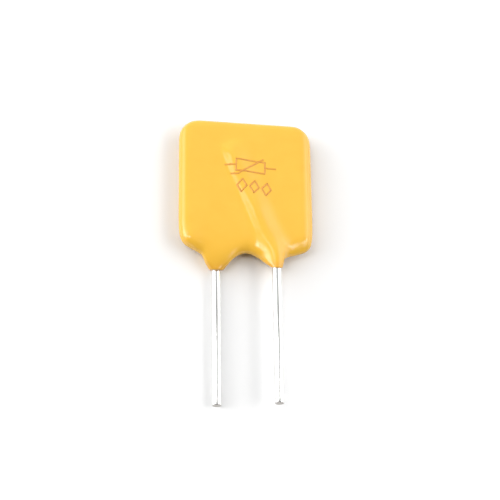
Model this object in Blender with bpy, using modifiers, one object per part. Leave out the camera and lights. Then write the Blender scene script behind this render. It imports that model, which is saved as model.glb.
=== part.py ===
"""Resettable fuse: a square polymer element between two foils, wired and dipped in epoxy.

Metres, +Z up. The fuse lies on its back, as a loose one rests on a bench: its front
face looks up, its two leads run along -Y, and X goes across. The origin is the centre
of the bounding box, on the surface that it lies on. Turned half a turn about the line
x = 0, z = CENTRE_HEIGHT, the front of the fuse falls on its back, so a piece of the
back is worked out as one of the front and then turned over.
"""

import math
from collections import namedtuple

import bmesh
import bpy
from mathutils import Matrix, Vector

MM = 0.001

# Leads: round tinned copper wire, which crosses its face of the element on a slant.
LEAD_PITCH = 5.08 * MM
WIRE_DIAMETER = 0.81 * MM
LEAD_LENGTH = 12.2 * MM
LEAD_SLANT = math.radians(21.5)
LEAD_BEND_RADIUS = 2.4 * MM
LEAD_BEND_DROP = 0.95 * MM
LEAD_TOP_MARGIN = 2.6 * MM

# Element: carbon-filled polymer sheet with a nickel foil on each face.
ELEMENT_WIDTH = 10.4 * MM
ELEMENT_HEIGHT = 10.86 * MM
ELEMENT_THICKNESS = 0.3 * MM
FOIL_THICKNESS = 0.035 * MM

# Solder: a low bead along each wire, closed round the wire's end.
SOLDER_WIDTH = 1.7 * MM
SOLDER_HEIGHT = 0.42 * MM
SOLDER_PAST_WIRE = 0.6 * MM
SOLDER_EDGE_MARGIN = 0.6 * MM
SOLDER_ROUNDING = 0.3 * MM

# Coating: dipped epoxy, with full round edges, a ridge over each wire and a sleeve
# that has crept down each lead.
EDGE_COVER = 0.72 * MM
COAT_THICKNESS = 1.8 * MM
WIRE_COVER = 0.22 * MM
CORNER_RADIUS = 1.9 * MM

# A ridge falls steeply towards the middle of the fuse and gently to the other side.
# The epoxy has run unevenly, so the ridge's height and the width of its steep side vary
# from the lower edge up to the wire's end.
RIDGE_STEEP_SIDE = 0.85 * MM
RIDGE_GENTLE_SIDE = 1.2 * MM
RIDGE_SHARES = (1.0, 0.6, 1.0, 0.5, 1.1)
STEEP_SHARES = (1.0, 1.25, 0.95, 1.3, 0.9)
GENTLE_SHARES = (1.0, 1.0, 1.05, 1.35, 1.3)

# The lower edge sinks to an arch between the leads and to a shoulder beside each one.
# A lip is how much higher than that edge the face begins to turn down at a corner.
ARCH_DROP = 0.8 * MM
FRONT_SHOULDER_DROP = 0.58 * MM
FRONT_CORNER_DROP = 0.18 * MM
FRONT_SHOULDER_RADIUS = 1.5 * MM
FRONT_LIP = 0.4 * MM
BACK_SHOULDER_DROP = 0.55 * MM
BACK_CORNER_DROP = 0.03 * MM
BACK_SHOULDER_RADIUS = 1.6 * MM
BACK_LIP = -0.1 * MM

# A sleeve leaves the lower edge between an inner and an outer flank and thins to a wall
# round its lead. It reaches further down on the front of the fuse.
SLEEVE_LENGTH = 1.75 * MM
SLEEVE_FRONT_REACH = 0.2 * MM
SLEEVE_COVER = 0.2 * MM
FRONT_SLEEVE_INNER = 1.22 * MM
FRONT_SLEEVE_OUTER = 0.8 * MM
FRONT_SLEEVE_WALL = 0.1 * MM
BACK_SLEEVE_INNER = 1.38 * MM
BACK_SLEEVE_OUTER = 1.25 * MM
BACK_SLEEVE_WALL = 0.22 * MM

# The face sinks above the other face's sleeve, and beside its own ridge, at the edge.
SLEEVE_SAG = 0.3 * MM
FLANK_DIP = 0.3 * MM

# Between two pieces that touch in the real fuse. The whole fuse is under 3 mm thick.
CLEARANCE = 0.02 * MM

# Sides of a round wire, and levels of subdivision of the coating.
WIRE_SIDES = 16
COAT_LEVELS = 2

WIRE_RADIUS = WIRE_DIAMETER / 2
BODY_EDGE = ELEMENT_WIDTH / 2 + EDGE_COVER
BODY_HEIGHT = ELEMENT_HEIGHT + 2 * EDGE_COVER
OVERALL_LENGTH = BODY_HEIGHT + SLEEVE_LENGTH + LEAD_LENGTH

BODY_TOP = OVERALL_LENGTH / 2
BODY_BOTTOM = BODY_TOP - BODY_HEIGHT
SLEEVE_END = BODY_BOTTOM - SLEEVE_LENGTH
LEAD_TIP = SLEEVE_END - LEAD_LENGTH
ELEMENT_TOP = BODY_TOP - EDGE_COVER
ELEMENT_BOTTOM = ELEMENT_TOP - ELEMENT_HEIGHT

# Heights over the middle plane of the element.
FOIL_BASE = ELEMENT_THICKNESS / 2 + CLEARANCE
FOIL_TOP = FOIL_BASE + FOIL_THICKNESS
SEAT = FOIL_TOP + CLEARANCE
WIRE_HEIGHT = SEAT + WIRE_RADIUS
CREST = WIRE_HEIGHT + WIRE_RADIUS + WIRE_COVER
FACE = COAT_THICKNESS / 2

# The crest of the rear ridge lies on the ground.
CENTRE_HEIGHT = CREST

# The slanted run of the front lead, from the bend under the element to its end.
LEAD_X = LEAD_PITCH / 2
BEND_Y = BODY_BOTTOM - LEAD_BEND_DROP
WIRE_END_Y = ELEMENT_TOP - LEAD_TOP_MARGIN

# A cubic surface turns a full round edge of radius r from these multiples of r: how far
# the cage's rim stands out past the edge, and how far in its border and its flat lie.
RIM_OUT = 0.1875
BORDER_IN = 0.375
FLAT_IN = 1.375

# One raised line of a cubic surface reaches two thirds of its own height, and a ring
# of eight points reaches this share of its own radius.
LINE_REACH = 2 / 3
RING_REACH = (4 + 2 * math.cos(math.pi / 4)) / 6


def clear_scene():
    for thing in list(bpy.data.objects):
        bpy.data.objects.remove(thing)


def new_collection(name):
    collection = bpy.data.collections.new(name)
    bpy.context.scene.collection.children.link(collection)
    return collection


def new_material(name, colour, roughness, metallic=0.0):
    material = bpy.data.materials.new(name)
    material.use_nodes = True
    shader = material.node_tree.nodes["Principled BSDF"]
    shader.inputs["Base Color"].default_value = (*colour, 1.0)
    shader.inputs["Roughness"].default_value = roughness
    shader.inputs["Metallic"].default_value = metallic
    material.diffuse_color = (*colour, 1.0)
    return material


def add_piece(name, data, material, collection):
    piece = bpy.data.objects.new(name, data)
    data.materials.append(material)
    collection.objects.link(piece)
    return piece


def add_cutter(name, data, collection):
    cutter = bpy.data.objects.new(name, data)
    cutter.hide_render = True
    cutter.display_type = "WIRE"
    collection.objects.link(cutter)
    return cutter


def cut(piece, cutter):
    modifier = piece.modifiers.new("cut_" + cutter.name, "BOOLEAN")
    modifier.operation = "DIFFERENCE"
    modifier.solver = "EXACT"
    modifier.object = cutter


def turned_over(point):
    """A place on the front of the fuse, taken to its back."""
    return Vector((-point[0], point[1], 2 * CENTRE_HEIGHT - point[2]))


def slab_mesh(name, centre_z, thickness, grow=0.0):
    """A sheet with the element's outline, lying level at centre_z."""
    size = (ELEMENT_WIDTH + 2 * grow, ELEMENT_HEIGHT + 2 * grow, thickness + 2 * grow)
    middle = Vector((0, (ELEMENT_TOP + ELEMENT_BOTTOM) / 2, centre_z))
    cage = bmesh.new()
    bmesh.ops.create_cube(cage, size=1, matrix=Matrix.Translation(middle) @ Matrix.Diagonal((*size, 1)))
    mesh = bpy.data.meshes.new(name)
    cage.to_mesh(mesh)
    cage.free()
    return mesh


def slant_x(y):
    """Where the slanted run of the front wire is at height y."""
    return LEAD_X - (y - BEND_Y) * math.tan(LEAD_SLANT)


def lead_route(past_end=0.0):
    """The front wire's centre line: its slanted run, the bend and the straight lead."""
    z = CENTRE_HEIGHT + WIRE_HEIGHT
    along = Vector((-math.sin(LEAD_SLANT), math.cos(LEAD_SLANT), 0))
    end = Vector((slant_x(WIRE_END_Y), WIRE_END_Y, z)) + past_end * along
    tangent = LEAD_BEND_RADIUS * math.tan(LEAD_SLANT / 2)
    pivot = Vector((LEAD_X - LEAD_BEND_RADIUS, BEND_Y - tangent, z))
    steps = 6
    route = [end]
    for step in range(steps + 1):
        angle = LEAD_SLANT * (1 - step / steps)
        route.append(pivot + LEAD_BEND_RADIUS * Vector((math.cos(angle), math.sin(angle), 0)))
    route.append(Vector((LEAD_X, LEAD_TIP, z)))
    return route


def wire_curve(name, route, radius):
    curve = bpy.data.curves.new(name, "CURVE")
    curve.dimensions = "3D"
    curve.twist_mode = "Z_UP"
    curve.bevel_depth = radius
    curve.bevel_resolution = (WIRE_SIDES - 4) // 2
    curve.use_fill_caps = True
    spline = curve.splines.new("POLY")
    spline.points.add(len(route) - 1)
    for point, place in zip(spline.points, route):
        point.co = (*place, 1)
    return curve


def wire_mesh(name, route, radius):
    """The same wire as a closed mesh, which can cut other pieces."""
    curve_object = bpy.data.objects.new(name, wire_curve(name, route, radius))
    bpy.context.scene.collection.objects.link(curve_object)
    bpy.context.view_layer.update()
    evaluated = curve_object.evaluated_get(bpy.context.evaluated_depsgraph_get())
    mesh = bpy.data.meshes.new_from_object(evaluated)
    bpy.data.objects.remove(curve_object)
    skin = bmesh.new()
    skin.from_mesh(mesh)
    bmesh.ops.remove_doubles(skin, verts=skin.verts, dist=0.001 * MM)
    bmesh.ops.recalc_face_normals(skin, faces=skin.faces)
    skin.to_mesh(mesh)
    skin.free()
    return mesh


def solder_mesh(name, grow=0.0):
    """The front bead: a bar with rounded corners that lies under the slanted wire."""
    start_y = ELEMENT_BOTTOM + SOLDER_EDGE_MARGIN
    start = Vector((slant_x(start_y), start_y))
    end = Vector((slant_x(WIRE_END_Y), WIRE_END_Y))
    length = (end - start).length + SOLDER_PAST_WIRE
    middle = start + (end - start).normalized() * length / 2
    place = Matrix.Translation((*middle, CENTRE_HEIGHT + SEAT + SOLDER_HEIGHT / 2))
    turn = Matrix.Rotation(LEAD_SLANT, 4, "Z")
    size = (SOLDER_WIDTH + 2 * grow, length + 2 * grow, SOLDER_HEIGHT + 2 * grow)
    bar = bmesh.new()
    bmesh.ops.create_cube(bar, size=1, matrix=place @ turn @ Matrix.Diagonal((*size, 1)))
    low = CENTRE_HEIGHT + SEAT + SOLDER_HEIGHT / 2
    edges = [edge for edge in bar.edges if max(v.co.z for v in edge.verts) > low]
    bmesh.ops.bevel(bar, geom=edges, offset=SOLDER_ROUNDING + grow, segments=4, profile=0.5,
                    affect="EDGES", clamp_overlap=True)
    mesh = bpy.data.meshes.new(name)
    bar.to_mesh(mesh)
    bar.free()
    return mesh


def turn_mesh_over(mesh):
    """Take a front piece's mesh to the back: half a turn, so its faces still point out."""
    lift = Matrix.Translation((0, 0, CENTRE_HEIGHT))
    mesh.transform(lift @ Matrix.Rotation(math.pi, 4, "Y") @ lift.inverted())
    return mesh


# The cage's columns, counted from the left, and the sleeves' places among them.
COLUMNS = 13
LEFT_SLEEVE = (3, 4, 5)
RIGHT_SLEEVE = (7, 8, 9)
RIDGE_COLUMN = 8
RIDGE_ROWS = len(RIDGE_SHARES)
BORDER_X = BODY_EDGE - FACE * BORDER_IN
FLAT_X = BODY_EDGE - FACE * FLAT_IN

# Shares of the fall from a shoulder to its corner, and of a dip in the first two rows.
SHOULDER_SHARES = (0.62, 0.2)
LIP_SHARES = (0.25, 0.75, 1.0, 1.0)
DIP_SHARES = (1.0, 0.25)

# A sleeve's rings, each as its place down the sleeve, how far its outline has drawn in
# to the lead's, and its swell.
SLEEVE_RING_SHARES = (
    (0.68, 0.37, 1.0),
    (0.86, 0.75, 1.0),
    (0.96, 1.0, 1.03),
    (1.0, 1.0, 1.0),
    (1.0, 1.0, 0.7),
)

Side = namedtuple("Side", "inner outer wall shoulder_drop corner_drop lip radius")
FRONT_SIDE = Side(FRONT_SLEEVE_INNER, FRONT_SLEEVE_OUTER, FRONT_SLEEVE_WALL,
                  FRONT_SHOULDER_DROP, FRONT_CORNER_DROP, FRONT_LIP, FRONT_SHOULDER_RADIUS)
BACK_SIDE = Side(BACK_SLEEVE_INNER, BACK_SLEEVE_OUTER, BACK_SLEEVE_WALL,
                 BACK_SHOULDER_DROP, BACK_CORNER_DROP, BACK_LIP, BACK_SHOULDER_RADIUS)


def ridge_reach():
    """How much of its full height the ridge reaches where it is highest."""
    triples = zip(RIDGE_SHARES, RIDGE_SHARES[1:], RIDGE_SHARES[2:])
    return max((before + 4 * share + after) / 6 for before, share, after in triples)


def face_rows():
    """Heights of the cage's rows, from the lower edge to the top."""
    low = BODY_BOTTOM + FACE * FLAT_IN
    step = (WIRE_END_Y - low) / (RIDGE_ROWS - 2)
    ridge = [low + k * step for k in range(RIDGE_ROWS - 1)]
    above = [WIRE_END_Y + RIDGE_STEEP_SIDE, BODY_TOP - FACE * FLAT_IN, BODY_TOP - FACE * BORDER_IN]
    return [BODY_BOTTOM + FACE * BORDER_IN, *ridge, *above]


def half_columns(side):
    """Columns of the lower edge, from the arch's middle out to one side."""
    inner = LEAD_X - side.inner
    outer = LEAD_X + side.outer
    return [0, inner, LEAD_X, outer, (outer + FLAT_X) / 2, FLAT_X, BORDER_X]


def half_drops(side):
    """How far the lower edge sinks at each of those columns."""
    fall = side.shoulder_drop - side.corner_drop
    slope = [side.corner_drop + fall * share for share in SHOULDER_SHARES]
    return [0, ARCH_DROP, ARCH_DROP, side.shoulder_drop, *slope, side.corner_drop]


def half_lips(side):
    """How much higher the face turns down at each of those columns than the edge asks."""
    return [0, 0, 0] + [side.lip * share for share in LIP_SHARES]


def edge_columns(near, far):
    return [-x for x in reversed(half_columns(far)[1:])] + half_columns(near)


def edge_drops(near, far):
    return half_drops(far)[:0:-1] + half_drops(near)


def edge_lips(near, far):
    return half_lips(far)[:0:-1] + half_lips(near)


def ridge_columns(row, y):
    """Columns of a row that the ridge crosses: even steps up to the ridge's left flank."""
    crest = slant_x(y)
    level = min(row, RIDGE_ROWS - 1)
    gentle = RIDGE_GENTLE_SIDE * GENTLE_SHARES[level]
    fan_width = crest - RIDGE_STEEP_SIDE * STEEP_SHARES[level] + FLAT_X
    fan = [-FLAT_X + fan_width * k / 6 for k in range(7)]
    return [-BORDER_X, *fan, crest, crest + gentle, crest + 2 * gentle, FLAT_X, BORDER_X]


def face_columns(row, y, near, far):
    if row == 0:
        return edge_columns(near, far)
    if row == 1:
        low = edge_columns(near, far)
        high = ridge_columns(row, y)
        mixed = [(a + b) / 2 for a, b in zip(low, high)]
        return mixed[:RIGHT_SLEEVE[0]] + high[RIGHT_SLEEVE[0]:]
    if row <= RIDGE_ROWS:
        return ridge_columns(row, y)
    even = [FLAT_X * k / 5 for k in range(-5, 6)]
    return [-BORDER_X, *even, BORDER_X]


def corner_pull(radius):
    """How far a cage corner moves in along X and Y to round the body to this radius."""
    reach = FACE * (FLAT_IN + RIM_OUT)
    return max(0.0, (6 * (1 - math.sqrt(0.5)) * radius - reach) / 4)


def edge_dips():
    """How far the face sinks at each column of its lower edge."""
    sag = [0, 0, SLEEVE_SAG / 2, SLEEVE_SAG, SLEEVE_SAG, SLEEVE_SAG, SLEEVE_SAG / 2]
    return sag + [FLANK_DIP, 0, FLANK_DIP, 0, 0, 0]


def face_points(near, far):
    """The cage's points on a face, by row and column. Its own lead is on the near side."""
    rows = face_rows()
    last = len(rows) - 1
    ridge_lift = (CREST - FACE) / (LINE_REACH * ridge_reach())
    drops = edge_drops(near, far)
    lips = edge_lips(near, far)
    dips = edge_dips()
    grid = []
    for row, y in enumerate(rows):
        line = []
        for column, x in enumerate(face_columns(row, y, near, far)):
            lift = 0.0
            if row < RIDGE_ROWS and column == RIDGE_COLUMN:
                lift = ridge_lift * RIDGE_SHARES[row]
            if row < len(DIP_SHARES):
                lift -= dips[column] * DIP_SHARES[row]
            drop = drops[column] - lips[column] if row == 0 else 0.0
            point = Vector((x, y - drop, CENTRE_HEIGHT + FACE + lift))
            if column in (0, COLUMNS - 1) and row in (0, last):
                side = near if x > 0 else far
                pull = corner_pull(CORNER_RADIUS if row == last else side.radius)
                point.x -= math.copysign(pull, x)
                point.y += pull if row == 0 else -pull
            line.append(point)
        grid.append(line)
    return grid


def border_keys(last):
    """Row and column of each border point, once round the face."""
    keys = [(0, column) for column in range(COLUMNS)]
    keys += [(row, COLUMNS - 1) for row in range(1, last + 1)]
    keys += [(last, column) for column in range(COLUMNS - 2, -1, -1)]
    keys += [(row, 0) for row in range(last - 1, 0, -1)]
    return keys


def rim_point(key, border_point, last):
    """The point of the rim, at mid thickness, outside one point of the border."""
    row, column = key
    out = FACE * (BORDER_IN + RIM_OUT)
    point = Vector((border_point.x, border_point.y, CENTRE_HEIGHT))
    if column in (0, COLUMNS - 1):
        point.x += math.copysign(out, point.x)
    if row == 0:
        point.y -= out + edge_lips(FRONT_SIDE, BACK_SIDE)[column]
    if row == last:
        point.y += out
    return point


def sleeve_ring(root, centre, half_width, half_height, ring):
    """Points of one ring: the root's outline drawn in towards the lead's."""
    down, narrowing, swell = ring
    level = BODY_BOTTOM - down * SLEEVE_LENGTH
    points = []
    for step, start in enumerate(root):
        angle = math.pi * (0.75 - step / 4)
        x = centre.x + half_width * swell / RING_REACH * math.cos(angle)
        z = centre.z + half_height * swell / RING_REACH * math.sin(angle)
        thinning = (start.co.y - level) / (start.co.y - SLEEVE_END)
        points.append(Vector((start.co.x + (x - start.co.x) * narrowing,
                              level - SLEEVE_FRONT_REACH * narrowing * math.sin(angle),
                              start.co.z + (z - start.co.z) * thinning)))
    return points


def add_sleeve(cage, root, centre, side):
    """Draw the eight-sided hole in the lower rim down to a closed sleeve round the lead."""
    above = root
    for ring in SLEEVE_RING_SHARES:
        points = sleeve_ring(root, centre, WIRE_RADIUS + side.wall, WIRE_RADIUS + SLEEVE_COVER, ring)
        below = [cage.verts.new(point) for point in points]
        for step in range(8):
            follow = (step + 1) % 8
            cage.faces.new((above[step], above[follow], below[follow], below[step]))
        above = below
    hub = cage.verts.new((centre.x, SLEEVE_END, centre.z))
    for step in (7, 1, 3, 5):
        cage.faces.new((above[step], above[(step + 1) % 8], above[(step + 2) % 8], hub))


def coat_cage(name):
    """The coarse closed cage that the subdivision turns into the dipped coating."""
    cage = bmesh.new()
    places = face_points(FRONT_SIDE, BACK_SIDE)
    back_places = face_points(BACK_SIDE, FRONT_SIDE)
    last = len(places) - 1
    front = [[cage.verts.new(point) for point in line] for line in places]
    back = [[cage.verts.new(turned_over(point)) for point in reversed(line)] for line in back_places]
    for row in range(last):
        for column in range(COLUMNS - 1):
            for face in (front, back):
                cage.faces.new((face[row][column], face[row][column + 1],
                                face[row + 1][column + 1], face[row + 1][column]))
    keys = border_keys(last)
    holes = [(0, LEFT_SLEEVE[1]), (0, RIGHT_SLEEVE[1])]
    rim = {}
    for key in keys:
        if key not in holes:
            border = places[key[0]][key[1]]
            rim[key] = cage.verts.new(rim_point(key, border, last))
    for key, follow in zip(keys, keys[1:] + keys[:1]):
        if key in rim and follow in rim:
            for face in (front, back):
                cage.faces.new((face[key[0]][key[1]], rim[key],
                                rim[follow], face[follow[0]][follow[1]]))
    for columns, side, way in ((RIGHT_SLEEVE, FRONT_SIDE, 1), (LEFT_SLEEVE, BACK_SIDE, -1)):
        first, middle, final = columns
        root = [front[0][first], front[0][middle], front[0][final], rim[(0, final)],
                back[0][final], back[0][middle], back[0][first], rim[(0, first)]]
        centre = Vector((way * LEAD_X, 0, CENTRE_HEIGHT + way * WIRE_HEIGHT))
        add_sleeve(cage, root, centre, side)
    bmesh.ops.recalc_face_normals(cage, faces=cage.faces)
    mesh = bpy.data.meshes.new(name)
    cage.to_mesh(mesh)
    cage.free()
    mesh.shade_smooth()
    return mesh


def make_element(collection):
    polymer = new_material("carbon_filled_polymer", (0.02, 0.02, 0.022), 0.7)
    mesh = slab_mesh("ptc_element", CENTRE_HEIGHT, ELEMENT_THICKNESS)
    add_piece("ptc_element", mesh, polymer, collection)


def make_electrodes(collection):
    nickel = new_material("nickel_foil", (0.62, 0.59, 0.53), 0.35, 1.0)
    height = FOIL_BASE + FOIL_THICKNESS / 2
    for name, side in (("front_electrode", 1), ("back_electrode", -1)):
        mesh = slab_mesh(name, CENTRE_HEIGHT + side * height, FOIL_THICKNESS)
        add_piece(name, mesh, nickel, collection)


def make_leads(collection):
    tin = new_material("tinned_copper", (0.82, 0.82, 0.8), 0.25, 1.0)
    front = lead_route()
    back = [turned_over(point) for point in front]
    for name, route in (("front_lead", front), ("back_lead", back)):
        add_piece(name, wire_curve(name, route, WIRE_RADIUS), tin, collection)


def make_solder(collection, wire_cutters):
    alloy = new_material("tin_solder", (0.7, 0.7, 0.69), 0.4, 1.0)
    front = add_piece("front_solder", solder_mesh("front_solder"), alloy, collection)
    back = add_piece("back_solder", turn_mesh_over(solder_mesh("back_solder")), alloy, collection)
    cut(front, wire_cutters[0])
    cut(back, wire_cutters[1])


def make_coating(collection, cutters):
    epoxy = new_material("yellow_epoxy", (1.0, 0.6, 0.09), 0.3)
    coating = add_piece("epoxy_coating", coat_cage("epoxy_coating"), epoxy, collection)
    subdivision = coating.modifiers.new("dipped_form", "SUBSURF")
    subdivision.levels = COAT_LEVELS
    subdivision.render_levels = COAT_LEVELS
    for cutter in cutters:
        cut(coating, cutter)


def build():
    clear_scene()
    parts = new_collection("resettable_fuse")
    cutters = new_collection("cutters")

    bore = WIRE_RADIUS + CLEARANCE
    front_bore = wire_mesh("front_bore", lead_route(CLEARANCE), bore)
    back_bore = turn_mesh_over(wire_mesh("back_bore", lead_route(CLEARANCE), bore))
    wire_cutters = [add_cutter("front_bore", front_bore, cutters),
                    add_cutter("back_bore", back_bore, cutters)]
    pocket = slab_mesh("element_pocket", CENTRE_HEIGHT, 2 * FOIL_TOP, CLEARANCE)
    front_bead = solder_mesh("front_bead_pocket", CLEARANCE)
    back_bead = turn_mesh_over(solder_mesh("back_bead_pocket", CLEARANCE))
    pockets = [add_cutter("element_pocket", pocket, cutters),
               add_cutter("front_bead_pocket", front_bead, cutters),
               add_cutter("back_bead_pocket", back_bead, cutters)]

    make_element(parts)
    make_electrodes(parts)
    make_leads(parts)
    make_solder(parts, wire_cutters)
    make_coating(parts, pockets + wire_cutters)


build()
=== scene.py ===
"""The looks of a dipped polymer resettable fuse that lies on its back on a white table."""

import math
from collections import namedtuple

import bmesh
import bpy
from mathutils import Matrix, Vector


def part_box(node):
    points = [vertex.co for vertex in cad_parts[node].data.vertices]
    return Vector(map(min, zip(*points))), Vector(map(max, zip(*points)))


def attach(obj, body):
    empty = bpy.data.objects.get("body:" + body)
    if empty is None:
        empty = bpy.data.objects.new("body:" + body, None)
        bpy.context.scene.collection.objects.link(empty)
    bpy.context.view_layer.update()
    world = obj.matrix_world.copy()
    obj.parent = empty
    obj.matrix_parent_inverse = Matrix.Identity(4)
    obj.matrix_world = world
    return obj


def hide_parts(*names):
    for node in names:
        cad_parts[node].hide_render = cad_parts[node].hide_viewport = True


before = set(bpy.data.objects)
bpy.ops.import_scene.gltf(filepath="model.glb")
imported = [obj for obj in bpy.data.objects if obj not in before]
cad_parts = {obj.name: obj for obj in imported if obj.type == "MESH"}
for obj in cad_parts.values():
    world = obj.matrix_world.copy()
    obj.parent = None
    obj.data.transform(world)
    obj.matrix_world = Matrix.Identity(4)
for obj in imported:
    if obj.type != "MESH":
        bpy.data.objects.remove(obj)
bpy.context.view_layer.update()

MM = 0.001

# Element and foils: a sheet of polymer filled with carbon, pressed between two nickel
# foils and sheared to size with them. The polymer is matt and black. The foils are rolled,
# so their grain runs one way. All three are the frame's own solids with a better finish.

POLYMER_BLACK = (0.02, 0.02, 0.022)
POLYMER_DUST = (0.045, 0.044, 0.043)
POLYMER_ROUGHNESS = (0.6, 0.85)
SPECK_SIZE = (0.06 * MM, 0.06 * MM, 0.06 * MM)
SPECK_HEIGHT = 0.004 * MM
NICKEL = (0.62, 0.59, 0.53)
NICKEL_WORN = (0.54, 0.51, 0.46)
NICKEL_ROUGHNESS = (0.28, 0.45)
ROLLING_SIZE = (0.05 * MM, 2.0 * MM, 0.05 * MM)
ROLLING_HEIGHT = 0.001 * MM
NOISE_RANGE = (0.28, 0.72)


def new_finish(name, colour, roughness, metallic=0.0):
    """A material of one colour, with the middle of its least and greatest roughness."""
    material = bpy.data.materials.new(name)
    material.use_nodes = True
    material.diffuse_color = (*colour, 1)
    shader = material.node_tree.nodes["Principled BSDF"]
    shader.inputs["Base Color"].default_value = (*colour, 1)
    shader.inputs["Roughness"].default_value = sum(roughness) / 2
    shader.inputs["Metallic"].default_value = metallic
    return material


def feed(tree, socket, value):
    """Give a socket its value, which is a plain one or comes from another socket."""
    if isinstance(value, bpy.types.NodeSocket):
        tree.links.new(value, socket)
    else:
        socket.default_value = value


def spread(tree, value, before=(0, 1), after=(0, 1), interpolation="LINEAR"):
    """The value with the range before taken to the range after."""
    made = tree.nodes.new("ShaderNodeMapRange")
    made.interpolation_type = interpolation
    tree.links.new(value, made.inputs["Value"])
    for name, number in zip(("From Min", "From Max", "To Min", "To Max"), (*before, *after)):
        made.inputs[name].default_value = number
    return made.outputs["Result"]


def mix_colours(tree, share, first, second):
    """A blend from the first colour to the second."""
    blend = tree.nodes.new("ShaderNodeMix")
    blend.data_type = "RGBA"
    ends = [socket for socket in blend.inputs if socket.type == "RGBA"]
    feed(tree, blend.inputs[0], share)
    feed(tree, ends[0], first)
    feed(tree, ends[1], second)
    return next(socket for socket in blend.outputs if socket.type == "RGBA")


def grain(material, size, detail=2.0, shift=0.0):
    """Noise over a piece, from 0 to 1. The size of its swells is given along X, Y and Z."""
    tree = material.node_tree
    place = tree.nodes.new("ShaderNodeTexCoord")
    stretch = tree.nodes.new("ShaderNodeMapping")
    stretch.inputs["Scale"].default_value = [1 / length for length in size]
    stretch.inputs["Location"].default_value = (shift, shift, shift)
    noise = tree.nodes.new("ShaderNodeTexNoise")
    noise.inputs["Scale"].default_value = 1.0
    noise.inputs["Detail"].default_value = detail
    tree.links.new(place.outputs["Object"], stretch.inputs["Vector"])
    tree.links.new(stretch.outputs["Vector"], noise.inputs["Vector"])
    return spread(tree, noise.outputs["Fac"], before=NOISE_RANGE)


def vary_roughness(material, pattern, roughness):
    """Let the roughness follow a pattern, from its least to its greatest."""
    tree = material.node_tree
    result = spread(tree, pattern, after=roughness)
    tree.links.new(result, tree.nodes["Principled BSDF"].inputs["Roughness"])


def vary_colour(material, pattern, first, second):
    tree = material.node_tree
    result = mix_colours(tree, pattern, (*first, 1), (*second, 1))
    tree.links.new(result, tree.nodes["Principled BSDF"].inputs["Base Color"])


def raise_grain(material, pattern, height):
    tree = material.node_tree
    bump = tree.nodes.new("ShaderNodeBump")
    bump.inputs["Strength"].default_value = 1.0
    bump.inputs["Distance"].default_value = height
    tree.links.new(pattern, bump.inputs["Height"])
    tree.links.new(bump.outputs["Normal"], tree.nodes["Principled BSDF"].inputs["Normal"])


def dress(name, material):
    """Give a solid of the frame its finish."""
    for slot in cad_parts[name].material_slots:
        slot.material = material


polymer = new_finish("carbon_polymer", POLYMER_BLACK, POLYMER_ROUGHNESS)
carbon_specks = grain(polymer, SPECK_SIZE, detail=3.0)
vary_colour(polymer, carbon_specks, POLYMER_BLACK, POLYMER_DUST)
vary_roughness(polymer, carbon_specks, POLYMER_ROUGHNESS)
raise_grain(polymer, carbon_specks, SPECK_HEIGHT)
dress("ptc_element", polymer)

nickel = new_finish("rolled_nickel", NICKEL, NICKEL_ROUGHNESS, metallic=1.0)
rolling_lines = grain(nickel, ROLLING_SIZE, detail=3.0)
vary_colour(nickel, rolling_lines, NICKEL_WORN, NICKEL)
vary_roughness(nickel, rolling_lines, NICKEL_ROUGHNESS)
raise_grain(nickel, rolling_lines, ROLLING_HEIGHT)
dress("front_electrode", nickel)
dress("back_electrode", nickel)

# Leads: two tinned copper wires, one soldered on a slant to each foil, bent where they
# leave the body and cut square at the tips. Geometry Nodes sweep a round wire along the
# route. The tin is drawn bright along the wire, and the cutter has dulled the ends.

coat_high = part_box("epoxy_coating")[1]
lead_low, lead_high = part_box("front_lead")
element_low, element_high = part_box("ptc_element")

CENTRE_HEIGHT = (element_low.z + element_high.z) / 2
WIRE_RADIUS = (lead_high.z - lead_low.z) / 2
WIRE_HEIGHT = lead_low.z + WIRE_RADIUS - CENTRE_HEIGHT
LEAD_X = lead_high.x - WIRE_RADIUS
LEAD_TIP = lead_low.y
LEAD_SLANT = math.radians(21.5)
LEAD_BEND_DROP = 0.95 * MM
LEAD_BEND_RADIUS = 2.4 * MM
LEAD_TOP_MARGIN = 2.6 * MM
EDGE_COVER = coat_high.y - element_high.y
BODY_BOTTOM = element_low.y - EDGE_COVER
BEND_Y = BODY_BOTTOM - LEAD_BEND_DROP
WIRE_END_Y = element_high.y - LEAD_TOP_MARGIN
BEND_STEPS = 12
WIRE_SIDES = 48
CUT_EDGE = 0.05 * MM
CUT_DRAW_IN = 0.09
CAP_CORNERS_OVER = 4
SHARP_ANGLE = math.radians(40)
TIN = (0.93, 0.93, 0.915)
TIN_GREY = (0.86, 0.865, 0.85)
TIN_ROUGHNESS = (0.16, 0.3)
DRAWING_SIZE = (0.11 * MM, 3.8 * MM, 0.11 * MM)
DRAWING_HEIGHT = 0.0012 * MM
CLOUD_SIZE = (0.5 * MM, 1.1 * MM, 0.5 * MM)
CLOUD_SHIFT = 3.0
CUT_METAL = (0.42, 0.38, 0.35)
CUT_SMEAR = (0.62, 0.61, 0.59)
CUT_ROUGHNESS = (0.42, 0.62)
SHEAR_SIZE = (0.03 * MM, 0.03 * MM, 0.3 * MM)
SHEAR_HEIGHT = 0.004 * MM


def turned_over(point):
    """A place on the front of the fuse, taken to its back."""
    return Vector((-point[0], point[1], 2 * CENTRE_HEIGHT - point[2]))


def slant_x(y):
    """Where the slanted run of the front wire is at height y."""
    return LEAD_X - (y - BEND_Y) * math.tan(LEAD_SLANT)


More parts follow.
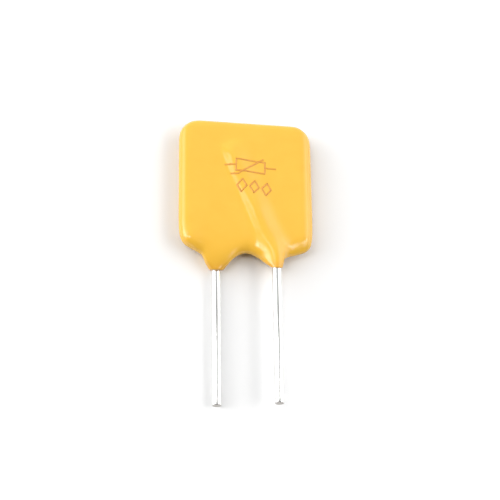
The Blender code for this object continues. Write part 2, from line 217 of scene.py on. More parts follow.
def lead_route(past_end=0.0):
    """The front wire's centre line: its slanted run, the bend and the straight lead."""
    z = CENTRE_HEIGHT + WIRE_HEIGHT
    along = Vector((-math.sin(LEAD_SLANT), math.cos(LEAD_SLANT), 0))
    end = Vector((slant_x(WIRE_END_Y), WIRE_END_Y, z)) + past_end * along
    tangent = LEAD_BEND_RADIUS * math.tan(LEAD_SLANT / 2)
    pivot = Vector((LEAD_X - LEAD_BEND_RADIUS, BEND_Y - tangent, z))
    route = [end, end - CUT_EDGE * along]
    for step in range(BEND_STEPS + 1):
        angle = LEAD_SLANT * (1 - step / BEND_STEPS)
        route.append(pivot + LEAD_BEND_RADIUS * Vector((math.cos(angle), math.sin(angle), 0)))
    route += [Vector((LEAD_X, LEAD_TIP + CUT_EDGE, z)), Vector((LEAD_X, LEAD_TIP, z))]
    return route


def new_tree(name, inputs):
    """A Geometry Nodes tree with named inputs, its way in, its way out and a maker of nodes."""
    tree = bpy.data.node_groups.new(name, "GeometryNodeTree")
    for label, kind in inputs:
        tree.interface.new_socket(label, in_out="INPUT", socket_type="NodeSocket" + kind)
    tree.interface.new_socket("Piece", in_out="OUTPUT", socket_type="NodeSocketGeometry")
    entry = tree.nodes.new("NodeGroupInput")
    leave = tree.nodes.new("NodeGroupOutput")

    def node(kind, **given):
        """A node whose inputs, named with _ for a space, are numbers or other sockets."""
        made = tree.nodes.new(kind)
        for label, value in given.items():
            feed(tree, made.inputs[label.replace("_", " ")], value)
        return made

    return tree, entry.outputs, leave, node


def maths(tree, operation, first, second):
    """What a Math node makes of two values."""
    made = tree.nodes.new("ShaderNodeMath")
    made.operation = operation
    feed(tree, made.inputs[0], first)
    feed(tree, made.inputs[1], second)
    return made.outputs[0]


def finish_tree(tree, leave, node, geometry, material):
    """End a tree in real geometry with its material."""
    real = node("GeometryNodeRealizeInstances", Geometry=geometry)
    painted = node("GeometryNodeSetMaterial", Geometry=real.outputs[0], Material=material)
    tree.links.new(painted.outputs[0], leave.inputs[0])


def plain_mesh(piece):
    """Turn what the piece's modifiers make of it into its own mesh, and drop them."""
    bpy.context.view_layer.update()
    evaluated = piece.evaluated_get(bpy.context.evaluated_depsgraph_get())
    made = bpy.data.meshes.new_from_object(evaluated)
    piece.modifiers.clear()
    piece.data = made
    made.name = piece.name


def run_tree(piece, tree, sizes):
    """Run a tree on a piece with these sizes, and keep the result as a plain mesh."""
    modifier = piece.modifiers.new(tree.name, "NODES")
    modifier.node_group = tree
    for item in tree.interface.items_tree:
        if item.item_type == "SOCKET" and item.in_out == "INPUT" and item.name in sizes:
            modifier[item.identifier] = sizes[item.name]
    plain_mesh(piece)


def line_object(name, points, edges):
    mesh = bpy.data.meshes.new(name)
    mesh.from_pydata(points, edges, [])
    piece = bpy.data.objects.new(name, mesh)
    bpy.context.scene.collection.objects.link(piece)
    return piece


def wire_tree(material, end_material):
    """A round wire along a poly line, drawn in a little at its two cut ends."""
    tree, sizes, leave, node = new_tree("round_wire", (
        ("Route", "Geometry"), ("Wire Radius", "Float"), ("Sides", "Int"), ("Draw In", "Float")))
    line = node("GeometryNodeMeshToCurve", Mesh=sizes["Route"])
    profile = node("GeometryNodeCurvePrimitiveCircle", Radius=sizes["Wire Radius"],
                   Resolution=sizes["Sides"])
    ends = node("GeometryNodeCurveEndpointSelection")
    width = maths(tree, "SUBTRACT", 1.0, maths(tree, "MULTIPLY", ends.outputs[0], sizes["Draw In"]))
    swept = node("GeometryNodeCurveToMesh", Curve=line.outputs[0],
                 Profile_Curve=profile.outputs[0], Scale=width, Fill_Caps=True)
    real = node("GeometryNodeRealizeInstances", Geometry=swept.outputs[0])
    tinned = node("GeometryNodeSetMaterial", Geometry=real.outputs[0], Material=material)
    corners = node("GeometryNodeInputMeshFaceNeighbors")
    is_end = node("FunctionNodeCompare")
    is_end.data_type = "INT"
    is_end.operation = "GREATER_THAN"
    tree.links.new(corners.outputs["Vertex Count"], is_end.inputs[2])
    is_end.inputs[3].default_value = CAP_CORNERS_OVER
    ended = node("GeometryNodeSetMaterial", Geometry=tinned.outputs[0],
                 Selection=is_end.outputs[0], Material=end_material)
    tree.links.new(ended.outputs[0], leave.inputs[0])
    return tree


def make_wire(name, route, radius, tree):
    wire = line_object(name, route, [(k, k + 1) for k in range(len(route) - 1)])
    run_tree(wire, tree, {"Wire Radius": radius, "Sides": WIRE_SIDES, "Draw In": CUT_DRAW_IN})
    wire.data.set_sharp_from_angle(angle=SHARP_ANGLE)
    return wire


tin = new_finish("bright_tin", TIN, TIN_ROUGHNESS, metallic=1.0)
drawing_lines = grain(tin, DRAWING_SIZE, detail=3.0)
tin_clouds = grain(tin, CLOUD_SIZE, detail=1.0, shift=CLOUD_SHIFT)
vary_colour(tin, tin_clouds, TIN_GREY, TIN)
vary_roughness(tin, drawing_lines, TIN_ROUGHNESS)
raise_grain(tin, drawing_lines, DRAWING_HEIGHT)

cut_end = new_finish("cut_copper", CUT_METAL, CUT_ROUGHNESS, metallic=1.0)
shear_lines = grain(cut_end, SHEAR_SIZE)
vary_colour(cut_end, shear_lines, CUT_METAL, CUT_SMEAR)
vary_roughness(cut_end, shear_lines, CUT_ROUGHNESS)
raise_grain(cut_end, shear_lines, SHEAR_HEIGHT)

round_wire = wire_tree(tin, cut_end)
front_route = lead_route()
back_route = [turned_over(point) for point in front_route]
for node_name, route in (("front_lead", front_route), ("back_lead", back_route)):
    lead = make_wire("tinned_" + node_name, route, WIRE_RADIUS, round_wire)
    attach(lead, "root")
    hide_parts(node_name)

# Solder: a dull bead of tin solder under each slanted run joins the wire to its foil.
# It froze as it flowed, so it is softly mottled. The frame's own solids carry the finish.

SOLDER_DULL = (0.6, 0.6, 0.59)
SOLDER_BRIGHT = (0.74, 0.74, 0.73)
SOLDER_ROUGHNESS = (0.34, 0.55)
MOTTLE_SIZE = (0.35 * MM, 0.35 * MM, 0.35 * MM)
MOTTLE_HEIGHT = 0.01 * MM

solder = new_finish("tin_solder", SOLDER_BRIGHT, SOLDER_ROUGHNESS, metallic=1.0)
solder_mottle = grain(solder, MOTTLE_SIZE, detail=4.0)
vary_colour(solder, solder_mottle, SOLDER_DULL, SOLDER_BRIGHT)
vary_roughness(solder, solder_mottle, SOLDER_ROUGHNESS)
raise_grain(solder, solder_mottle, MOTTLE_HEIGHT)
dress("front_solder", solder)
dress("back_solder", solder)

# Epoxy coating: a dip in liquid epoxy gives full round edges, a soft ridge over each buried
# wire, an arch between the leads and a sleeve crept down each one. A coarse cage has the
# form, Geometry Nodes smooth it, and what lies inside is then cut out of it.

BODY_EDGE = coat_high.x
BODY_TOP = coat_high.y
FACE = 0.9 * MM
WIRE_COVER = 0.22 * MM
CREST = WIRE_HEIGHT + WIRE_RADIUS + WIRE_COVER
CORNER_RADIUS = 1.9 * MM

RIDGE_STEEP_SIDE = 0.85 * MM
RIDGE_GENTLE_SIDE = 1.2 * MM
RIDGE_SHARES = (1.0, 0.6, 1.0, 0.5, 1.1)
STEEP_SHARES = (1.0, 1.25, 0.95, 1.3, 0.9)
GENTLE_SHARES = (1.0, 1.0, 1.05, 1.35, 1.3)

ARCH_DROP = 0.8 * MM
SLEEVE_LENGTH = 1.75 * MM
SLEEVE_END = BODY_BOTTOM - SLEEVE_LENGTH
SLEEVE_FRONT_REACH = 0.2 * MM
SLEEVE_SAG = 0.3 * MM
FLANK_DIP = 0.3 * MM
OUTER_DIP = 0.05 * MM
SHOULDER_DIP = 0.25 * MM

# The side of each lead: how far the sleeve's root reaches from the lead, how thick its end
# is beside and over the wire, and the drops, lip and corner radius of the shoulder.
Side = namedtuple("Side", "inner outer wall cover shoulder_drop corner_drop lip radius")
FRONT_SIDE = Side(inner=1.22 * MM, outer=0.8 * MM, wall=0.1 * MM, cover=0.08 * MM,
                  shoulder_drop=0.58 * MM, corner_drop=0.18 * MM, lip=0.4 * MM, radius=1.5 * MM)
BACK_SIDE = Side(inner=1.38 * MM, outer=1.25 * MM, wall=0.22 * MM, cover=0.2 * MM,
                 shoulder_drop=0.55 * MM, corner_drop=0.03 * MM, lip=-0.1 * MM, radius=1.6 * MM)

# Where a cubic surface puts its rim, border and flat for an edge of a given radius, and
# how much of its height or radius a raised line or a ring of eight points keeps.
RIM_OUT = 0.1875
BORDER_IN = 0.375
FLAT_IN = 1.375
LINE_REACH = 2 / 3
RING_REACH = (4 + 2 * math.cos(math.pi / 4)) / 6

# The cage's columns, counted from the left, and the sleeves' places among them.
COLUMNS = 13
LEFT_SLEEVE = (3, 4, 5)
RIGHT_SLEEVE = (7, 8, 9)
RIDGE_COLUMN = 8
FAN_STEPS = RIDGE_COLUMN - 2
EVEN_STEPS = (COLUMNS - 3) // 2
RIDGE_ROWS = len(RIDGE_SHARES)
BORDER_X = BODY_EDGE - FACE * BORDER_IN
FLAT_X = BODY_EDGE - FACE * FLAT_IN
SHOULDER_SHARES = (0.62, 0.2)
LIP_SHARES = (0.25, 0.75, 1.0, 1.0)
DIP_SHARES = (1.0, 0.25)

# Each ring of a sleeve: how far down it is, how far drawn in to the lead, and its swell.
SLEEVE_SIDES = 8
SLEEVE_RING_SHARES = (
    (0.68, 0.37, 1.0),
    (0.86, 0.75, 1.0),
    (0.96, 1.0, 1.03),
    (1.0, 1.0, 1.0),
    (1.0, 1.0, 0.7),
)

COAT_LEVEL = 3
SWELL_SIZE = 2.6 * MM
SWELL_DEPTH = 0.016 * MM
CLEARANCE = 0.02 * MM
POINT_MERGE = 0.001 * MM
SEAM_MERGE = 0.0002 * MM
FLAT_ANGLE = math.radians(1)
LEAST_REACH = 0.5
EPOXY = (0.875, 0.5, 0.057)
EPOXY_DEEP = (0.86, 0.477, 0.051)
# Lower down the sleeves, between two heights, the coat's colour turns to a deeper orange.
EPOXY_LOW_SLEEVE = (0.73, 0.36, 0.035)
SLEEVE_DEEPEN_FROM = BODY_BOTTOM - 0.8 * MM
SLEEVE_DEEPEN_TO = BODY_BOTTOM - 2.2 * MM
EPOXY_IOR = 1.55
EPOXY_ROUGHNESS = (0.11, 0.17)
PIGMENT_SIZE = (1.3 * MM, 1.3 * MM, 1.3 * MM)
RIPPLE_SIZE = (0.55 * MM, 0.55 * MM, 0.55 * MM)
RIPPLE_SHIFT = 7.0
RIPPLE_HEIGHT = 0.0025 * MM


def ridge_reach():
    """How much of its full height the ridge reaches where it is highest."""
    triples = zip(RIDGE_SHARES, RIDGE_SHARES[1:], RIDGE_SHARES[2:])
    return max((before + 4 * share + after) / 6 for before, share, after in triples)


def face_rows():
    """Heights of the cage's rows, from the lower edge to the top."""
    low = BODY_BOTTOM + FACE * FLAT_IN
    step = (WIRE_END_Y - low) / (RIDGE_ROWS - 2)
    ridge = [low + k * step for k in range(RIDGE_ROWS - 1)]
    above = [WIRE_END_Y + RIDGE_STEEP_SIDE, BODY_TOP - FACE * FLAT_IN, BODY_TOP - FACE * BORDER_IN]
    return [BODY_BOTTOM + FACE * BORDER_IN, *ridge, *above]


def half_columns(side):
    """Columns of the lower edge, from the arch's middle out to one side."""
    inner = LEAD_X - side.inner
    outer = LEAD_X + side.outer
    return [0, inner, LEAD_X, outer, (outer + FLAT_X) / 2, FLAT_X, BORDER_X]


def half_drops(side):
    """How far the lower edge sinks at each of those columns."""
    fall = side.shoulder_drop - side.corner_drop
    slope = [side.corner_drop + fall * share for share in SHOULDER_SHARES]
    return [0, ARCH_DROP, ARCH_DROP, side.shoulder_drop, *slope, side.corner_drop]


def half_lips(side):
    """How much higher the face turns down at each of those columns than the edge asks."""
    return [0, 0, 0] + [side.lip * share for share in LIP_SHARES]


def edge_columns(near, far):
    return [-x for x in reversed(half_columns(far)[1:])] + half_columns(near)


def edge_drops(near, far):
    return half_drops(far)[:0:-1] + half_drops(near)


def edge_lips(near, far):
    return half_lips(far)[:0:-1] + half_lips(near)


def ridge_columns(row, y):
    """Columns of a row that the ridge crosses: even steps up to the ridge's left flank."""
    crest = slant_x(y)
    level = min(row, RIDGE_ROWS - 1)
    gentle = RIDGE_GENTLE_SIDE * GENTLE_SHARES[level]
    fan_width = crest - RIDGE_STEEP_SIDE * STEEP_SHARES[level] + FLAT_X
    fan = [-FLAT_X + fan_width * k / FAN_STEPS for k in range(FAN_STEPS + 1)]
    return [-BORDER_X, *fan, crest, crest + gentle, crest + 2 * gentle, FLAT_X, BORDER_X]


def face_columns(row, y, near, far):
    if row == 0:
        return edge_columns(near, far)
    if row == 1:
        low = edge_columns(near, far)
        high = ridge_columns(row, y)
        mixed = [(a + b) / 2 for a, b in zip(low, high)]
        return mixed[:RIGHT_SLEEVE[0]] + high[RIGHT_SLEEVE[0]:]
    if row <= RIDGE_ROWS:
        return ridge_columns(row, y)
    even = [FLAT_X * k / EVEN_STEPS for k in range(-EVEN_STEPS, EVEN_STEPS + 1)]
    return [-BORDER_X, *even, BORDER_X]


def corner_pull(radius):
    """How far a cage corner moves in along X and Y to round the body to this radius."""
    reach = FACE * (FLAT_IN + RIM_OUT)
    return max(0.0, (6 * (1 - math.sqrt(0.5)) * radius - reach) / 4)


def edge_dips():
    """How far the face sinks at each column of its lower edge."""
    sag = [0, 0, SLEEVE_SAG / 2, SLEEVE_SAG, SLEEVE_SAG, SLEEVE_SAG, SLEEVE_SAG / 2]
    return sag + [FLANK_DIP, 0, OUTER_DIP, SHOULDER_DIP, SHOULDER_DIP, SHOULDER_DIP]


def face_points(near, far):
    """The cage's points on a face, by row and column. Its own lead is on the near side."""
    rows = face_rows()
    last = len(rows) - 1
    ridge_lift = (CREST - FACE) / (LINE_REACH * ridge_reach())
    drops = edge_drops(near, far)
    lips = edge_lips(near, far)
    dips = edge_dips()
    grid = []
    for row, y in enumerate(rows):
        line = []
        for column, x in enumerate(face_columns(row, y, near, far)):
            lift = 0.0
            if row < RIDGE_ROWS and column == RIDGE_COLUMN:
                lift = ridge_lift * RIDGE_SHARES[row]
            if row < len(DIP_SHARES):
                lift -= dips[column] * DIP_SHARES[row]
            drop = drops[column] - lips[column] if row == 0 else 0.0
            point = Vector((x, y - drop, CENTRE_HEIGHT + FACE + lift))
            if column in (0, COLUMNS - 1) and row in (0, last):
                side = near if x > 0 else far
                pull = corner_pull(CORNER_RADIUS if row == last else side.radius)
                point.x -= math.copysign(pull, x)
                point.y += pull if row == 0 else -pull
            line.append(point)
        grid.append(line)
    return grid


def border_keys(last):
    """Row and column of each border point, once round the face."""
    keys = [(0, column) for column in range(COLUMNS)]
    keys += [(row, COLUMNS - 1) for row in range(1, last + 1)]
    keys += [(last, column) for column in range(COLUMNS - 2, -1, -1)]
    keys += [(row, 0) for row in range(last - 1, 0, -1)]
    return keys


def rim_point(key, border_point, last):
    """The point of the rim, at mid thickness, outside one point of the border."""
    row, column = key
    out = FACE * (BORDER_IN + RIM_OUT)
    point = Vector((border_point.x, border_point.y, CENTRE_HEIGHT))
    if column in (0, COLUMNS - 1):
        point.x += math.copysign(out, point.x)
    if row == 0:
        point.y -= out + edge_lips(FRONT_SIDE, BACK_SIDE)[column]
    if row == last:
        point.y += out
    return point


def sleeve_ring(root, centre, half_width, half_height, ring):
    """Points of one ring: the root's outline drawn in towards the lead's."""
    down, narrowing, swell = ring
    level = BODY_BOTTOM - down * SLEEVE_LENGTH
    points = []
    for step, start in enumerate(root):
        angle = math.pi * (0.75 - 2 * step / SLEEVE_SIDES)
        x = centre.x + half_width * swell / RING_REACH * math.cos(angle)
        z = centre.z + half_height * swell / RING_REACH * math.sin(angle)
        thinning = (start.co.y - level) / (start.co.y - SLEEVE_END)
        points.append(Vector((start.co.x + (x - start.co.x) * narrowing,
                              level - SLEEVE_FRONT_REACH * narrowing * math.sin(angle),
                              start.co.z + (z - start.co.z) * thinning)))
    return points


def add_sleeve(cage, root, centre, side):
    """Draw the eight-sided hole in the lower rim down to a closed sleeve round the lead."""
    above = root
    for ring in SLEEVE_RING_SHARES:
        points = sleeve_ring(root, centre, WIRE_RADIUS + side.wall, WIRE_RADIUS + side.cover, ring)
        below = [cage.verts.new(point) for point in points]
        for step in range(SLEEVE_SIDES):
            follow = (step + 1) % SLEEVE_SIDES
            cage.faces.new((above[step], above[follow], below[follow], below[step]))
        above = below
    hub = cage.verts.new((centre.x, SLEEVE_END, centre.z))
    for step in range(-1, SLEEVE_SIDES - 1, 2):
        cage.faces.new((above[step], above[step + 1], above[(step + 2) % SLEEVE_SIDES], hub))


def coat_cage(name):
    """The coarse closed cage that the subdivision turns into the dipped coating."""
    cage = bmesh.new()
    places = face_points(FRONT_SIDE, BACK_SIDE)
    back_places = face_points(BACK_SIDE, FRONT_SIDE)
    last = len(places) - 1
    front = [[cage.verts.new(point) for point in line] for line in places]
    back = [[cage.verts.new(turned_over(point)) for point in reversed(line)]
            for line in back_places]
    for row in range(last):
        for column in range(COLUMNS - 1):
            for face in (front, back):
                cage.faces.new((face[row][column], face[row][column + 1],
                                face[row + 1][column + 1], face[row + 1][column]))
    keys = border_keys(last)
    holes = [(0, LEFT_SLEEVE[1]), (0, RIGHT_SLEEVE[1])]
    rim = {}
    for key in keys:
        if key not in holes:
            border = places[key[0]][key[1]]
            rim[key] = cage.verts.new(rim_point(key, border, last))
    for key, follow in zip(keys, keys[1:] + keys[:1]):
        if key in rim and follow in rim:
            for face in (front, back):
                cage.faces.new((face[key[0]][key[1]], rim[key],
                                rim[follow], face[follow[0]][follow[1]]))
    for columns, side, way in ((RIGHT_SLEEVE, FRONT_SIDE, 1), (LEFT_SLEEVE, BACK_SIDE, -1)):
        first, middle, final = columns
        root = [front[0][first], front[0][middle], front[0][final], rim[(0, final)],
                back[0][final], back[0][middle], back[0][first], rim[(0, first)]]
        centre = Vector((way * LEAD_X, 0, CENTRE_HEIGHT + way * WIRE_HEIGHT))
        add_sleeve(cage, root, centre, side)
    bmesh.ops.recalc_face_normals(cage, faces=cage.faces)
    mesh = bpy.data.meshes.new(name)
    cage.to_mesh(mesh)
    cage.free()
    return mesh


def shell_tree(material):
    """A cage smoothed to its limit surface, then drawn in here and there by soft swells."""
    tree, sizes, leave, node = new_tree("dipped_shell", (
        ("Cage", "Geometry"), ("Level", "Int"), ("Swell Size", "Float"), ("Swell Depth", "Float")))
    smooth = node("GeometryNodeSubdivisionSurface", Mesh=sizes["Cage"], Level=sizes["Level"])
    place = node("GeometryNodeInputPosition")
    swells = node("ShaderNodeTexNoise", Vector=place.outputs[0],
                  Scale=maths(tree, "DIVIDE", 1.0, sizes["Swell Size"]), Detail=1.0)
    depth = maths(tree, "MULTIPLY", swells.outputs[0], sizes["Swell Depth"])
    outward = node("GeometryNodeInputNormal")
    inward = node("ShaderNodeVectorMath")
    inward.operation = "SCALE"
    tree.links.new(outward.outputs[0], inward.inputs[0])
    tree.links.new(maths(tree, "MULTIPLY", depth, -1.0), inward.inputs["Scale"])
    moved = node("GeometryNodeSetPosition", Geometry=smooth.outputs[0], Offset=inward.outputs[0])
    shaded = node("GeometryNodeSetShadeSmooth", Geometry=moved.outputs[0])
    finish_tree(tree, leave, node, shaded.outputs[0], material)
    return tree


def keep_skin(piece, skin):
    """Write an edited skin back into a piece's mesh."""
    skin.to_mesh(piece.data)
    skin.free()


def pocket_round(name, *node_names):
    """A closed form round some solids of the frame, let out by the clearance."""
    skin = bmesh.new()
    for node_name in node_names:
        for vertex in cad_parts[node_name].data.vertices:
            skin.verts.new(vertex.co)
    bmesh.ops.remove_doubles(skin, verts=skin.verts, dist=POINT_MERGE)
    bmesh.ops.convex_hull(skin, input=skin.verts)
    inner = [vertex for vertex in skin.verts if not vertex.link_faces]
    bmesh.ops.delete(skin, geom=inner, context="VERTS")
    bmesh.ops.dissolve_limit(skin, angle_limit=FLAT_ANGLE, verts=skin.verts, edges=skin.edges)
    bmesh.ops.recalc_face_normals(skin, faces=skin.faces)
    skin.normal_update()
    moves = []
    for vertex in skin.verts:
        turns = [vertex.normal.dot(face.normal) for face in vertex.link_faces]
        moves.append((vertex, vertex.normal * (CLEARANCE / max(min(turns), LEAST_REACH))))
    for vertex, move in moves:
        vertex.co += move
    pocket = line_object(name, [], [])
    keep_skin(pocket, skin)
    return pocket


def closed(piece, reach):
    """Merge points closer than reach and split many-sided faces, so the skin is closed."""
    skin = bmesh.new()
    skin.from_mesh(piece.data)
    bmesh.ops.remove_doubles(skin, verts=skin.verts, dist=reach)
    bmesh.ops.dissolve_degenerate(skin, dist=reach, edges=skin.edges)
    bmesh.ops.triangulate(skin, faces=[face for face in skin.faces if len(face.verts) > 4])
    bmesh.ops.recalc_face_normals(skin, faces=skin.faces)
    keep_skin(piece, skin)
    return piece


def darken_sleeves(material):
    """Turn the colour towards a deeper orange lower down the sleeves, towards the leads."""
    tree = material.node_tree
    shader = tree.nodes["Principled BSDF"]
    colour = shader.inputs["Base Color"].links[0].from_socket
    place = tree.nodes.new("ShaderNodeTexCoord")
    split = tree.nodes.new("ShaderNodeSeparateXYZ")
    tree.links.new(place.outputs["Object"], split.inputs[0])
    share = spread(tree, split.outputs["Y"], (SLEEVE_DEEPEN_FROM, SLEEVE_DEEPEN_TO), interpolation="SMOOTHSTEP")
    result = mix_colours(tree, share, colour, (*EPOXY_LOW_SLEEVE, 1))
    tree.links.new(result, shader.inputs["Base Color"])


epoxy = new_finish("yellow_epoxy", EPOXY, EPOXY_ROUGHNESS)
epoxy.node_tree.nodes["Principled BSDF"].inputs["IOR"].default_value = EPOXY_IOR
pigment = grain(epoxy, PIGMENT_SIZE, detail=5.0)
skin_ripple = grain(epoxy, RIPPLE_SIZE, shift=RIPPLE_SHIFT)
vary_colour(epoxy, pigment, EPOXY_DEEP, EPOXY)
darken_sleeves(epoxy)
vary_roughness(epoxy, pigment, EPOXY_ROUGHNESS)
raise_grain(epoxy, skin_ripple, RIPPLE_HEIGHT)

coating = line_object("coating", [], [])
coating.data = coat_cage("coating")
run_tree(coating, shell_tree(epoxy), {
    "Level": COAT_LEVEL, "Swell Size": SWELL_SIZE, "Swell Depth": SWELL_DEPTH})
front_bore = lead_route(CLEARANCE)
back_bore = [turned_over(point) for point in front_bore]
bore_radius = WIRE_RADIUS + CLEARANCE
cutters = [
    pocket_round("element_pocket", "ptc_element", "front_electrode", "back_electrode"),
    pocket_round("front_bead_pocket", "front_solder"),
    pocket_round("back_bead_pocket", "back_solder"),
    closed(make_wire("front_bore", front_bore, bore_radius, round_wire), POINT_MERGE),
    closed(make_wire("back_bore", back_bore, bore_radius, round_wire), POINT_MERGE),
]
for cutter in cutters:
    cutter.data.materials.clear()
    cut = coating.modifiers.new(cutter.name, "BOOLEAN")
    cut.operation = "DIFFERENCE"
    cut.solver = "EXACT"
    cut.object = cutter
plain_mesh(coating)
closed(coating, SEAM_MERGE)
for cutter in cutters:
    bpy.data.objects.remove(cutter)
coating.data.materials.clear()
coating.data.materials.append(epoxy)
coating.data.set_sharp_from_angle(angle=SHARP_ANGLE)
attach(coating, "root")
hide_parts("epoxy_coating")

# Ink mark: the plain circuit symbol of a thermistor over a row of diamonds, stamped on the
# cured coating in reddish brown ink that has worn unevenly. Geometry Nodes sweep a thin
# flat line along each stroke and lay it on the coating.

INK_WIDTH = 0.15 * MM
INK_THICKNESS = 0.016 * MM
INK_CUTS = 31
INK_LAP = 0.0006 * MM
INK = (0.655, 0.255, 0.035)
INK_WORN = (0.765, 0.355, 0.049)
INK_ROUGHNESS = (0.38, 0.55)
WEAR_SIZE = (0.28 * MM, 0.28 * MM, 0.28 * MM)
WEAR_HEIGHT = 0.002 * MM
DROP_FROM = 10 * MM
DROP_REACH = 20 * MM
SYMBOL_PLACE = (0.3 * MM, 8.45 * MM)
SYMBOL_TURN = math.radians(-2)
SYMBOL_STROKES = (
    ((-1.3, -0.55), (1.3, -0.55), (1.3, 0.55), (-1.3, 0.55), (-1.3, -0.55)),
    ((-2.3, 0.0), (-1.3, 0.0)),
    ((1.3, 0.0), (2.3, 0.0)),
    ((-1.75, -0.85), (-1.1, -0.85), (1.15, 0.85)),
)
DIAMOND_PLACES = ((-0.5 * MM, 6.55 * MM), (0.6 * MM, 6.44 * MM), (1.7 * MM, 6.33 * MM))
DIAMOND_TURN = math.radians(-5.5)
DIAMOND_STROKE = ((-0.42, 0.0), (0.0, -0.6), (0.42, 0.0), (0.0, 0.6), (-0.42, 0.0))


def mark_tree(material):
    """A flat line along each stroke, dropped onto the surface below it."""
    tree, sizes, leave, node = new_tree("ink_line", (
        ("Strokes", "Geometry"), ("Surface", "Object"), ("Line Width", "Float"),
        ("Line Thickness", "Float"), ("Cuts", "Int")))
    line = node("GeometryNodeMeshToCurve", Mesh=sizes["Strokes"])
    cuts = node("GeometryNodeSubdivideCurve", Curve=line.outputs[0], Cuts=sizes["Cuts"])
    level = node("GeometryNodeSetCurveNormal", Curve=cuts.outputs[0])
    level.mode = "Z_UP"
    profile = node("GeometryNodeCurvePrimitiveQuadrilateral", Width=sizes["Line Width"],
                   Height=sizes["Line Thickness"])
    swept = node("GeometryNodeCurveToMesh", Curve=level.outputs[0],
                 Profile_Curve=profile.outputs[0], Fill_Caps=True)
    surface = node("GeometryNodeObjectInfo", Object=sizes["Surface"])
    place = node("GeometryNodeInputPosition")
    raised = node("ShaderNodeVectorMath")
    raised.operation = "ADD"
    raised.inputs[1].default_value = (0, 0, DROP_FROM)
    tree.links.new(place.outputs[0], raised.inputs[0])
    fall = node("GeometryNodeRaycast", Target_Geometry=surface.outputs["Geometry"],
                Source_Position=raised.outputs[0], Ray_Direction=(0, 0, -1),
                Ray_Length=DROP_REACH)
    landing = node("ShaderNodeSeparateXYZ", Vector=fall.outputs["Hit Position"])
    drop = node("ShaderNodeCombineXYZ", Z=landing.outputs["Z"])
    laid = node("GeometryNodeSetPosition", Geometry=swept.outputs[0], Offset=drop.outputs[0])
    finish_tree(tree, leave, node, laid.outputs[0], material)
    return tree


def strokes_at(strokes, place, turn):
    """Strokes given in millimetres round their middle, set at a place on the face."""
    spin = Matrix.Rotation(turn, 2)
    return [[spin @ Vector(point) * MM + Vector(place) for point in stroke] for stroke in strokes]


strokes = strokes_at(SYMBOL_STROKES, SYMBOL_PLACE, SYMBOL_TURN)
for place in DIAMOND_PLACES:
    strokes += strokes_at([DIAMOND_STROKE], place, DIAMOND_TURN)
mark_points = []
mark_edges = []
for lap, stroke in enumerate(strokes):
    is_ring = (stroke[0] - stroke[-1]).length < INK_THICKNESS
    if is_ring:
        stroke = stroke[:-1]
    first = len(mark_points)
    mark_points += [(point.x, point.y, lap * INK_LAP) for point in stroke]
    mark_edges += [(first + k, first + k + 1) for k in range(len(stroke) - 1)]
    if is_ring:
        mark_edges.append((first + len(stroke) - 1, first))

ink = new_finish("brown_ink", INK, INK_ROUGHNESS)
ink_wear = grain(ink, WEAR_SIZE, detail=3.0)
vary_colour(ink, ink_wear, INK, INK_WORN)
vary_roughness(ink, ink_wear, INK_ROUGHNESS)
raise_grain(ink, ink_wear, WEAR_HEIGHT)

mark = line_object("ink_mark", mark_points, mark_edges)
run_tree(mark, mark_tree(ink), {
    "Surface": coating, "Line Width": INK_WIDTH, "Line Thickness": INK_THICKNESS,
    "Cuts": INK_CUTS})
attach(mark, "root")

# Table: a plain white board that the fuse lies on. The camera sees it as clean white, as
# anything polished or clear does, and it keeps the fuse's shadow.

TABLE_HALF = 1.0
TABLE_SEEN = 0.875
TABLE_WHITE = 0.62

table_mesh = bpy.data.meshes.new("table")
table_corners = [(-TABLE_HALF, -TABLE_HALF, 0), (TABLE_HALF, -TABLE_HALF, 0),
                 (TABLE_HALF, TABLE_HALF, 0), (-TABLE_HALF, TABLE_HALF, 0)]
table_mesh.from_pydata(table_corners, [], [(0, 1, 2, 3)])
table = bpy.data.objects.new("table", table_mesh)
bpy.context.scene.collection.objects.link(table)
board = bpy.data.materials.new("white_board")
board.use_nodes = True
board_tree = board.node_tree
board_tree.nodes.clear()
board_output = board_tree.nodes.new("ShaderNodeOutputMaterial")
board_mix = board_tree.nodes.new("ShaderNodeMixShader")
rays = board_tree.nodes.new("ShaderNodeLightPath").outputs
board_seen = maths(board_tree, "MAXIMUM", rays["Is Camera Ray"], rays["Is Glossy Ray"])
board_seen = maths(board_tree, "MAXIMUM", board_seen, rays["Is Transmission Ray"])
board_tree.links.new(board_seen, board_mix.inputs[0])
for place, white in ((1, TABLE_WHITE), (2, TABLE_SEEN)):
    surface = board_tree.nodes.new("ShaderNodeBsdfDiffuse")
    surface.inputs["Color"].default_value = (white, white, white, 1)
    board_tree.links.new(surface.outputs[0], board_mix.inputs[place])
board_tree.links.new(board_mix.outputs[0], board_output.inputs["Surface"])
table.data.materials.append(board)

# Light: a white tent round the fuse, brighter behind it than in front, with soft round
# panels at its left and right that give the coating and the wires their highlights.

TENT_FADE = (-0.6, 0.3)
TENT_STRENGTH = (0.03, 0.34)
TENT_SAMPLES = 1024

# Each panel: where it is, how many degrees from its middle it starts to fade and is gone,
# and its strength.
TENT_PANELS = (
    ((-0.32, -0.12, 0.94), 5, 10, 7.2),
    ((-0.51, -0.15, 0.85), 5, 10, 4.0),
    ((-0.70, -0.15, 0.70), 6, 11, 3.8),
    ((-0.86, -0.02, 0.51), 8, 16, 2.0),
    ((-0.49, 0.23, 0.84), 6, 8, 2.7),
    ((-0.97, 0.10, 0.22), 10, 20, 3.0),
    ((-0.92, 0.20, 0.18), 22, 42, 2.3),
    ((0.68, -0.10, 0.73), 6, 11, 4.3),
    ((0.57, -0.30, 0.765), 6, 9, 4.8),
    ((0.45, -0.19, 0.87), 4, 8, 2.6),
    ((0.67, -0.42, 0.61), 5, 9, 2.8),
    ((0.58, 0.30, 0.76), 10, 18, 1.0),
    ((0.90, 0.22, 0.25), 25, 45, 1.65),
    ((0.1, 0.8, 0.60), 10, 50, 0.38),
)

world = bpy.data.worlds.new("studio")
bpy.context.scene.world = world
world.use_nodes = True


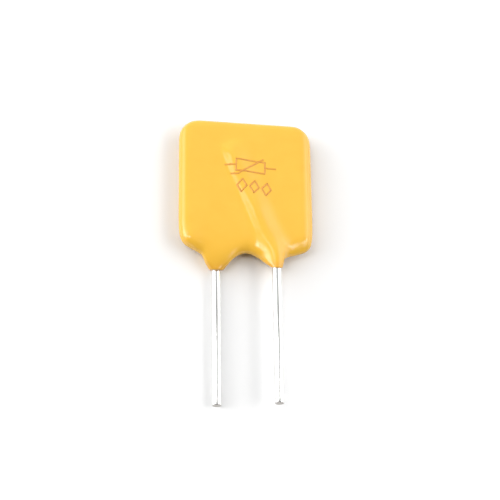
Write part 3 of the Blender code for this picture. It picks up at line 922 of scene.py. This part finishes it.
def tent_panel(tree, direction, towards, core, edge, strength):
    """A round patch of the tent: full within core degrees of its middle, gone at edge degrees."""
    product = tree.nodes.new("ShaderNodeVectorMath")
    product.operation = "DOT_PRODUCT"
    tree.links.new(direction, product.inputs[0])
    product.inputs[1].default_value = Vector(towards).normalized()
    fade = (math.cos(math.radians(edge)), math.cos(math.radians(core)))
    return spread(tree, product.outputs["Value"], fade, (0, strength), "SMOOTHSTEP")


tent_tree = world.node_tree
tent_direction = tent_tree.nodes.new("ShaderNodeTexCoord").outputs["Generated"]
tent_split = tent_tree.nodes.new("ShaderNodeSeparateXYZ")
tent_tree.links.new(tent_direction, tent_split.inputs[0])
tent = spread(tent_tree, tent_split.outputs["Y"], TENT_FADE, TENT_STRENGTH, "SMOOTHSTEP")
for panel in TENT_PANELS:
    tent = maths(tent_tree, "ADD", tent, tent_panel(tent_tree, tent_direction, *panel))
background = tent_tree.nodes["Background"]
background.inputs["Color"].default_value = (1, 1, 1, 1)
tent_tree.links.new(tent, background.inputs["Strength"])
world.cycles.sampling_method = "MANUAL"
world.cycles.sample_map_resolution = TENT_SAMPLES

# Camera: it looks down on the fuse a little from the lead side, through a long lens.

CAMERA_AZIMUTH = math.radians(21.154)
CAMERA_TILT = math.radians(25.304)
CAMERA_ROLL = math.radians(22.431)
CAMERA_DISTANCE = 139.45 * MM
CAMERA_TARGET = Vector((0.55, 1.445, -0.025)) * MM
IMAGE_WIDTH = 500
FOCAL_PIXELS = 1595.475
SENSOR_WIDTH = 36
CAMERA_NEAR = 10 * MM

towards_camera = Vector((-math.sin(CAMERA_AZIMUTH) * math.sin(CAMERA_TILT),
                         -math.cos(CAMERA_AZIMUTH) * math.sin(CAMERA_TILT),
                         math.cos(CAMERA_TILT)))
level_up = Vector((math.sin(CAMERA_AZIMUTH), math.cos(CAMERA_AZIMUTH), 0))
camera_right = level_up.cross(towards_camera).normalized()
camera_up = towards_camera.cross(camera_right)
facing = Matrix((camera_right, camera_up, towards_camera)).transposed().to_4x4()
camera_data = bpy.data.cameras.new("camera")
camera_data.sensor_width = SENSOR_WIDTH
camera_data.lens = FOCAL_PIXELS * SENSOR_WIDTH / IMAGE_WIDTH
camera_data.clip_start = CAMERA_NEAR
camera = bpy.data.objects.new("camera", camera_data)
bpy.context.scene.collection.objects.link(camera)
camera_place = Matrix.Translation(CAMERA_TARGET + towards_camera * CAMERA_DISTANCE)
camera.matrix_world = camera_place @ facing @ Matrix.Rotation(CAMERA_ROLL, 4, "Z")
bpy.context.scene.camera = camera
bpy.context.scene.view_settings.view_transform = "Standard"
